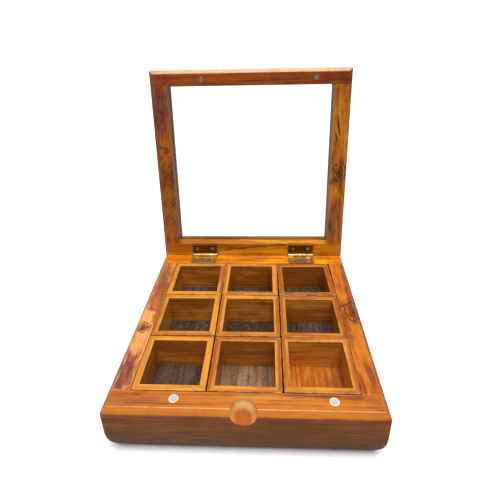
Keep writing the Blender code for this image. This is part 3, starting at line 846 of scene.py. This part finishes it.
# %% Magnets
def disc(name, low, high, rim, dome=0.0):
    """A round button between two corners: a cylinder with a rounded edge, an inset ring and a raised middle."""
    centre, radius = (low + high) / 2, (high.x - low.x) / 2
    bpy.ops.object.select_all(action="DESELECT")
    bpy.ops.mesh.primitive_cylinder_add(vertices=48, radius=radius, depth=high.z - low.z, location=centre)
    made = bpy.context.object
    bpy.ops.object.transform_apply(location=True, rotation=True, scale=True)
    made.name = made.data.name = name
    bpy.ops.object.mode_set(mode="EDIT")
    bpy.ops.mesh.select_mode(type="FACE")
    bpy.ops.mesh.select_all(action="DESELECT")
    bpy.ops.object.mode_set(mode="OBJECT")
    for face in made.data.polygons:
        face.select = face.normal.z > 0.9
    bpy.ops.object.mode_set(mode="EDIT")
    bpy.ops.mesh.inset(thickness=rim)
    rounds = 5
    for k in range(rounds):
        bpy.ops.mesh.inset(thickness=(radius - rim) / (rounds + 1))
        bpy.ops.transform.translate(value=(0, 0, dome * (0.5 - 0.09 * k) / rounds * 2))
    bpy.ops.object.mode_set(mode="OBJECT")
    ease(made, 0.0002, 3, 50)
    return made


MAGNET_RIM, FLUSH = 0.0009, 0.0001
for side, (low, high) in magnet_boxes.items():
    magnet = disc(f"magnet_{side}", low, high - UP * FLUSH, MAGNET_RIM, -0.00012)
    settle(magnet, "tray", f"base_magnet_{side}", slot="magnet_nickel", material=nickel)
    magnet.data.materials.append(glue)
    middle = (low + high) / 2
    for face in magnet.data.polygons:
        off = Vector((face.center.x - middle.x, face.center.y - middle.y)).length
        face.material_index = int(off > (high.x - low.x) / 2 - MAGNET_RIM * 0.95)
    print(magnet.name, len(magnet.data.polygons), "faces")

# %% [markdown]
# ## Bottom panel
# A thin board slides into the grooves, so that it can swell without splitting the tray. Its edges are feathered
# underneath like a drawer bottom's. Four sloping saw cuts do that; a bevel would round the edge too evenly.

# %% Bottom panel
panel = block("tray_bottom_panel", panel_low, panel_high)
FEATHER_IN, FEATHER_UP = 0.016, 0.0018
middle = (panel_low + panel_high) / 2
for out in (Vector((1, 0, 0)), Vector((-1, 0, 0)), Vector((0, 1, 0)), Vector((0, -1, 0))):
    edge = middle + Vector(out * (panel_high - panel_low).x / 2)
    saw(panel, Vector((edge.x, edge.y, panel_low.z + FEATHER_UP)), out * FEATHER_UP - UP * FEATHER_IN)
ease(panel, 0.0004, 2, 4)
mark_grain(panel, (1, 0, 0), (0, 1, 0), tone=0.4)
settle(panel, "tray", "base_bottom_panel", slot="panel_wood", material=panel_wood)
print(panel.name, [round(v, 4) for v in panel.dimensions])

# %% [markdown]
# ## Lid rails
# The lid is made lying shut on the tray, where its sizes are easy to read, and each finished board is then turned
# about the hinge axis with one matrix. Turning the mesh, and not the object, leaves the object at the origin.

# %% Rails of the lid
lid_rails = {}
for side, inner in (("front", lid_open_front), ("back", lid_open_back), ("left", lid_open_x), ("right", lid_open_x)):
    rail = rail_block(f"lid_rail_{side}", side, inner, (lid_open_front, lid_open_back), lid_face, lid_top)
    for face in ("left", "right", side) if side in ("front", "back") else (side,):
        chamfer(rail, face, lid_face, CHAMFER, -(BACK_DROP if face == "back" else CHAMFER))
        chamfer(rail, face, lid_top, LID_OUTER_CHAMFER, LID_OUTER_CHAMFER)
    groove(rail, lid_open_x, lid_open_front, lid_open_back, glass_low.z, glass_high.z)
    lid_rails[side] = rail
recesses(lid_rails["back"], lid_open_back, lid_face - OVERCUT, lid_face + RECESS_DEPTH)
for rail in lid_rails.values():
    ease(rail, EASE)
print("lid rails", [len(rail.data.polygons) for rail in lid_rails.values()], "faces")

# %% Strikes: two domed steel pins that the magnets hold
turned_over = Matrix.Rotation(pi, 4, "X")
STRIKE_DOME = 0.00022
for side in ("left", "right"):
    low, high = shut_box(f"lid_strike_{side}")
    centre = (low + high) / 2
    radius = (high.x - low.x) / 2
    place = Matrix.Translation((centre.x, centre.y, lid_face)) @ turned_over
    drill(lid_rails["front"], (0, 0, 0), radius + HOLE_PLAY, high.z - lid_face, place)
    strike = disc(f"strike_{side}", Vector((-radius, -radius, lid_face - high.z)), Vector((radius, radius, 0)),
                  0.0004, STRIKE_DOME)
    strike.data.transform(turn_open @ place)
    settle(strike, "lid", f"lid_strike_{side}", slot="strike_steel", material=strike_steel)

# %% Turn the lid rails open
for side, rail in lid_rails.items():
    mark_grain(rail, *GRAIN_WAY[side])
    name = "hinge" if side == "back" else side
    settle(rail, "lid", f"lid_{name}_rail", slot=f"lid_{name}_wood", material=rail_finish[f"lid_{name}"])
    if side == "back":
        paint_recess_highlight(rail, lid_face)
    rail.data.transform(turn_open)

# %% Glass
pane = block("lid_pane", glass_low, glass_high)
ease(pane, 0.0003, 2, 50)
pane.data.transform(turn_open)
settle(pane, "lid", "lid_glass", slot="clear_glass", material=clear_glass)
print(pane.name, round(glass_high.z - glass_low.z, 4), "thick")

# %% [markdown]
# ## Hinges and screws
# Each butt hinge has two leaves rolled round a pin. The frame's leaves already have their knuckles, bores and
# countersinks, but as loose triangles with razor edges. A copy of each is merged, its flat triangles are dissolved
# into whole faces, and every edge is bevelled a little, because a bright line along an edge is what makes metal look
# like metal.

# %% Refine the hinge leaves, pins and screws
def refine(node, name, body, slot, finish, width, angle=30):
    """A copy of a frame node with merged faces and softened edges, which then stands for it."""
    source = frame["nodes"][node]
    made = bpy.data.objects.new(name, source.data.copy())
    bpy.context.scene.collection.objects.link(made)
    only(made)
    bpy.ops.object.mode_set(mode="EDIT")
    bpy.ops.mesh.select_all(action="SELECT")
    bpy.ops.mesh.remove_doubles(threshold=0.000002)
    bpy.ops.mesh.dissolve_limited(angle_limit=radians(1))
    bpy.ops.object.mode_set(mode="OBJECT")
    ease(made, width, 2, angle)
    return settle(made, body, node, slot=slot, material=finish)


for side in ("left", "right"):
    refine(f"hinge_{side}_base_leaf", f"{side}_hinge_tray_leaf", "tray", "tan_brass", tan_brass, 0.00015)
    refine(f"hinge_{side}_lid_leaf", f"{side}_hinge_top_leaf", "lid", "dark_brass", dark_brass, 0.00015)
    refine(f"hinge_{side}_pin", f"{side}_hinge_pin_rod", "tray", "pin_brass", pin_brass, 0.0002, 50)
    for end in ("a", "b"):
        for part, body in (("base", "tray"), ("lid", "lid")):
            refine(f"{part}_screw_{side}_{end}", f"{side}_{body}_screw_{end}", body, "screw_brass", screw_brass,
                   0.00008)
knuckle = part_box("hinge_left_base_leaf")[1].z - axis_z
for leaf in [o for o in bpy.data.objects if o.name.endswith("_leaf") and o.name not in frame["nodes"]]:
    leaf.data.materials.append(pin_brass)
    for face in leaf.data.polygons:
        from_axis = sqrt((face.center.y - axis_y) ** 2 + (face.center.z - axis_z) ** 2)
        face.material_index = int(from_axis < knuckle * 1.02)

# %% [markdown]
# ## Cups
# Each cup is four thin walls mitred at the corners round a floor. A wall is a block sawn at 45 degrees at both ends,
# and turning it by quarter turns gives the other three. The cups lie a little loose, so each takes its place and its
# turn from the frame. No two walls come from the same stretch of wood: each has its own tone and its own grain.

# %% Cup tools
WALL, WALL_EASE = 0.0058, 0.0006
ROWS, COLS = ("front", "middle", "back"), ("left", "middle", "right")
# for each cup: tone of its rim, tone of its inside (a painted shade that darkens the walls below the rim), and how red
# its front, right, back and left walls run
CUP_WOOD = {"front_left": (-0.3, 1.0, (0.1, 0.1, 0.5, 0.4)), "front_middle": (0.3, 1.1, (0.5, 1.0, 0.8, 0.9)),
            "front_right": (0.2, 0.0, (0.5, 0.6, 0.7, 0.7)), "middle_left": (0.2, 0.45, (0.6, 0.1, 0.2, 0.7)),
            "middle_middle": (0.2, 0.5, (0.5, 0.9, 0.2, 0.8)), "middle_right": (0.25, 0.6, (0.6, 0.9, 0.6, 0.9)),
            "back_left": (0.25, 0.7, (0.3, 0.9, 0.3, 0.4)), "back_middle": (0.1, 1.0, (0.2, 0.5, 0.4, 0.5)),
            "back_right": (0.7, 1.4, (0.9, 1.2, 1.0, 1.1))}


def cup_place(tag):
    """Centre, turn and half width of a cup, from the frame's own walls."""
    node = frame["nodes"][f"cup_{tag}_walls"]
    low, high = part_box(f"cup_{tag}_walls")
    middle = (low + high) / 2
    corner = max((v.co for v in node.data.vertices), key=lambda co: co.x + co.y) - middle
    reach = Vector((corner.x, corner.y)).length
    return middle, atan2(corner.y, corner.x) - pi / 4, reach / sqrt(2), low.z, high.z


# %% Make one set of walls for each cup
golden_step = 0.618      # spreads the tones without a pattern
for number, tag in enumerate(f"{row}_{col}" for row in ROWS for col in COLS):
    middle, turned, half, bottom, top = cup_place(tag)
    at = Matrix.Translation((middle.x, middle.y, 0)) @ Matrix.Rotation(turned, 4, "Z")
    for k in range(4):
        wall = block(f"cup_{tag}_wall_{k}", (-half, -half, bottom), (half, -half + WALL, top))
        for s in (-1, 1):
            saw(wall, (s * (half - JOINT), -half, 0), (s, 1, 0))
        ease(wall, WALL_EASE)
        seed = 4 * number + k
        spread = 0.3 * ((seed * golden_step) % 1) - 0.15
        rim_tone, inside_painted_shade, red = CUP_WOOD[tag]
        mark_grain(wall, (1, 0, 0), (0, 0, 1), seed=10 + seed)
        for layer in ("outer", "red"):
            wall.data.attributes.new(layer, "FLOAT", "POINT")
        # faces below the rim take the darker inside tone: painted shade for the inside of the cup
        for face, shade in zip(wall.data.polygons, wall.data.attributes["tone"].data):
            shade.value = spread + (inside_painted_shade if face.center.z < top - 2 * WALL_EASE else rim_tone)
        wall.data.attributes["outer"].data.foreach_set("value", [(half - WALL + v.co.y) / -WALL
                                                                 for v in wall.data.vertices])
        wall.data.attributes["red"].data.foreach_set("value", [red[k]] * len(wall.data.vertices))
        wall.data.transform(at @ Matrix.Rotation(pi / 2 * k, 4, "Z"))
        settle(wall, f"cup_{tag}", *([f"cup_{tag}_walls"] if k == 0 else []), slot="cup_wood", material=cup_wood)
    flo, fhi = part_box(f"cup_{tag}_floor")
    inner = half - WALL - 0.0001
    floor = block(f"cup_{tag}_bottom", (-inner, -inner, flo.z), (inner, inner, fhi.z))
    ease(floor, 0.0003)
    mark_grain(floor, (0, 1, 0), (1, 0, 0), seed=80 + number, tone=1.2 if tag == "middle_middle" else 0.5)
    floor.data.transform(at)
    settle(floor, f"cup_{tag}", f"cup_{tag}_floor",
           slot="amber_floor_wood" if tag == "front_right" else "cup_floor_wood",
           material=floor_finish.get(tag, floor_wood))
    print(tag, "turned", round(turned * 180 / pi, 2), "degrees")

# %% [markdown]
# ## Studio
# A wide sun nearly overhead lights the tops strongly and the upright faces weakly, and its size keeps the shadows
# soft. The floor and the world look white to the camera and through the glass, but give the object much less light
# than that, or its sides and its lacquer would turn milky.

# %% Floor and world
def seen(tree, bright, dim):
    """One value for what the camera sees, straight or through glass, and another for other rays."""
    path = tree.nodes.new("ShaderNodeLightPath").outputs
    bounced = calc(tree, "ADD", path["Glossy Depth"], path["Diffuse Depth"])
    straight = calc(tree, "SUBTRACT", path["Is Transmission Ray"], bounced, clamp=True)
    sight = calc(tree, "MAXIMUM", path["Is Camera Ray"], straight)
    return calc(tree, "MULTIPLY_ADD", sight, bright - dim, dim)


bpy.ops.object.select_all(action="DESELECT")
bpy.ops.mesh.primitive_plane_add(size=12)
ground = bpy.context.object
ground.name = "studio_floor"
paint, tree, shader = material_of("floor_paint")
mottle = noise(tree, tree.nodes.new("ShaderNodeTexCoord").outputs["Object"], (5, 5, 5), 3)
shader.inputs["Roughness"].default_value = 0.8
grey = calc(tree, "ADD", seen(tree, 0.9, 0.2), centred(tree, mottle, 0.02))
feed(tree, shader.inputs["Base Color"], grey)
ground.data.materials.append(paint)
ground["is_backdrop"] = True

world = bpy.data.worlds.new("studio")
bpy.context.scene.world = world
world.use_nodes = True
sky = world.node_tree.nodes["Background"]
sky.inputs["Color"].default_value = (1, 1, 1, 1)
feed(world.node_tree, sky.inputs["Strength"], seen(world.node_tree, 1.2, 0.27))

# %% Lights
def lamp(name, kind, place, target, **settings):
    """A light at a place, aimed at a target."""
    light = bpy.data.lights.new(name, kind)
    for label, value in settings.items():
        setattr(light, label, value)
    holder = bpy.data.objects.new(name, light)
    bpy.context.scene.collection.objects.link(holder)
    holder.location = place
    holder.rotation_euler = (Vector(target) - Vector(place)).to_track_quat("-Z", "Y").to_euler()
    return holder


sun = lamp("overhead", "SUN", (0.15, -0.35, 2), (0, 0, 0), energy=4.3, angle=radians(48))
print("sun turned", [round(v, 2) for v in sun.rotation_euler])

# %% Camera
eye = bpy.data.cameras.new("camera")
eye.lens, eye.sensor_width = 28.42, 36
eye.shift_x, eye.shift_y = 0.0045, -0.0902
stand = bpy.data.objects.new("camera", eye)
bpy.context.scene.collection.objects.link(stand)
AHEAD, ABOVE = 0.2103, 0.2758
stand.location = (0.0184, tray_front - AHEAD, tray_top + ABOVE)
stand.rotation_euler = (radians(65.26), radians(1.24), radians(2.41))
bpy.context.scene.camera = stand
print("camera at", [round(v, 3) for v in stand.location])

# %% Finish
low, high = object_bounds()
print("visual box", [round(v, 4) for v in low], [round(v, 4) for v in high])
